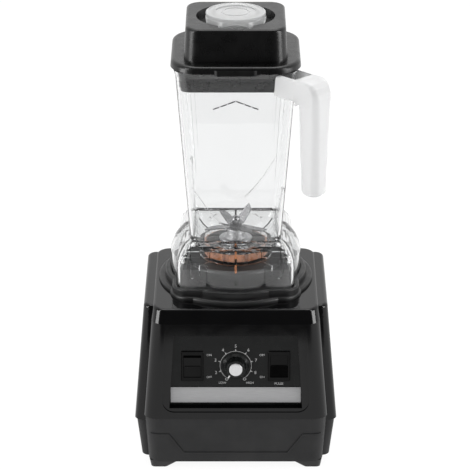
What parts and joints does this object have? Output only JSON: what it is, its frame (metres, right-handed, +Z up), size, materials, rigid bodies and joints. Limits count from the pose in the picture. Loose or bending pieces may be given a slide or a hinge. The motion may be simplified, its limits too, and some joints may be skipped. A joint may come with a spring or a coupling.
{
  "type": "countertop blender",
  "caption": "Countertop blender: black motor base with a dial and rocker switches, square clear jar with an open corner handle, steel blades, rubber lid and clear cap.",
  "frame": {"origin": "on the worktop, on the drive axis, which is the middle of the base's outline; z = 0 is the underside of the feet", "axes": "+Z up the drive axis, -Y out of the control panel, +X to the right as the user faces the panel"},
  "size_m": [0.229, 0.226, 0.51],
  "materials": {
    "tray_matte_black": "fine matte texture",
    "base_gloss_black": "high gloss moulded",
    "rubber_black": "matte",
    "panel_black": "satin printed film",
    "plate_silver": "brushed",
    "switch_black": "satin",
    "steel": "machined",
    "board_green": "coated board",
    "alloy": "die cast",
    "plastic_black": "moulded",
    "iron": "laminated",
    "copper": "lacquered winding",
    "knob_black": "satin",
    "knob_silver": "spun",
    "mark_white": "matte",
    "clear_plastic": "clear polished",
    "frosted_plastic": "frosted",
    "blade_steel": "polished",
    "nut_brown": "moulded"
  },
  "bodies": {
    "base": {"lower_tray": "tray_matte_black", "upper_housing": "base_gloss_black", "jar_pad": "rubber_black", "control_panel": "panel_black", "nameplate": "plate_silver", "power_switch_body": "switch_black", "pulse_switch_body": "switch_black", "potentiometer": "steel", "speed_board": "board_green", "heat_sink": "alloy", "circuit_breaker": "plastic_black", "cord_gland": "rubber_black", "foot_front_left": "rubber_black", "foot_front_right": "rubber_black", "foot_back_left": "rubber_black", "foot_back_right": "rubber_black", "foot_screws": "steel", "housing_screws": "steel", "upper_bearing": "steel", "lower_bearing": "steel", "motor_stator": "iron", "field_coils": "copper", "motor_top_bracket": "alloy", "motor_bottom_bracket": "alloy", "through_bolts": "steel", "brush_holders": "plastic_black", "fan_shroud": "plastic_black", "mount_screws": "steel", "bracket_grommets": "rubber_black"},
    "rotor": {"motor_shaft": "steel", "drive_socket": "steel", "armature": "iron", "commutator": "copper", "cooling_fan": "plastic_black"},
    "knob": {"speed_knob": "knob_black", "knob_cap": "knob_silver", "knob_pointer": "mark_white", "pot_shaft": "steel"},
    "power_rocker": {"power_rocker": "switch_black"},
    "pulse_rocker": {"pulse_rocker": "switch_black"},
    "reset_button": {"reset_button": "plastic_black"},
    "jar": {"jar": "clear_plastic", "jar_handle": "frosted_plastic", "blade_housing": "blade_steel", "retainer_nut": "nut_brown", "nut_gasket": "rubber_black", "shaft_seal": "rubber_black", "blade_bearing_upper": "steel", "blade_bearing_lower": "steel"},
    "blades": {"blade_shaft": "steel", "blade_lower": "blade_steel", "blade_middle": "blade_steel", "blade_upper": "blade_steel", "blade_nut": "blade_steel"},
    "lid": {"lid": "rubber_black", "lid_gasket": "rubber_black"},
    "cap": {"cap": "clear_plastic", "cap_seal": "rubber_black"}
  },
  "joints": [
    {"name": "jar_lift", "type": "slide", "parent": "base", "child": "jar", "axis": [0, 0, 1], "range_m": [0, 0.08]},
    {"name": "lid_lift", "type": "slide", "parent": "jar", "child": "lid", "axis": [0, 0, 1], "range_m": [0, 0.06]},
    {"name": "cap_lift", "type": "slide", "parent": "lid", "child": "cap", "axis": [0, 0, 1], "range_m": [0, 0.05]},
    {"name": "motor_spin", "type": "hinge", "parent": "base", "child": "rotor", "pos_m": [0, 0, 0.13], "axis": [0, 0, 1], "continuous": true},
    {"name": "blade_spin", "type": "hinge", "parent": "jar", "child": "blades", "pos_m": [0, 0, 0.25], "axis": [0, 0, 1], "continuous": true},
    {"name": "knob_turn", "type": "hinge", "parent": "base", "child": "knob", "pos_m": [0, -0.09991, 0.12649], "axis": [0, 0.9986, -0.0523], "range_deg": [0, 296]},
    {"name": "power_rock", "type": "hinge", "parent": "base", "child": "power_rocker", "pos_m": [-0.0486, -0.09691, 0.12634], "axis": [1, 0, 0], "range_deg": [-16, 0]},
    {"name": "pulse_rock", "type": "hinge", "parent": "base", "child": "pulse_rocker", "pos_m": [0.0486, -0.09691, 0.12634], "axis": [1, 0, 0], "range_deg": [0, 16], "stiffness_Nm_per_rad": 0.05},
    {"name": "reset_push", "type": "slide", "parent": "base", "child": "reset_button", "axis": [0, 0, 1], "range_m": [0, 0.003], "stiffness_N_per_m": 150}
  ],
  "couplings": [
    {"joint": "blade_spin", "follows": "motor_spin", "ratio": 1}
  ]
}
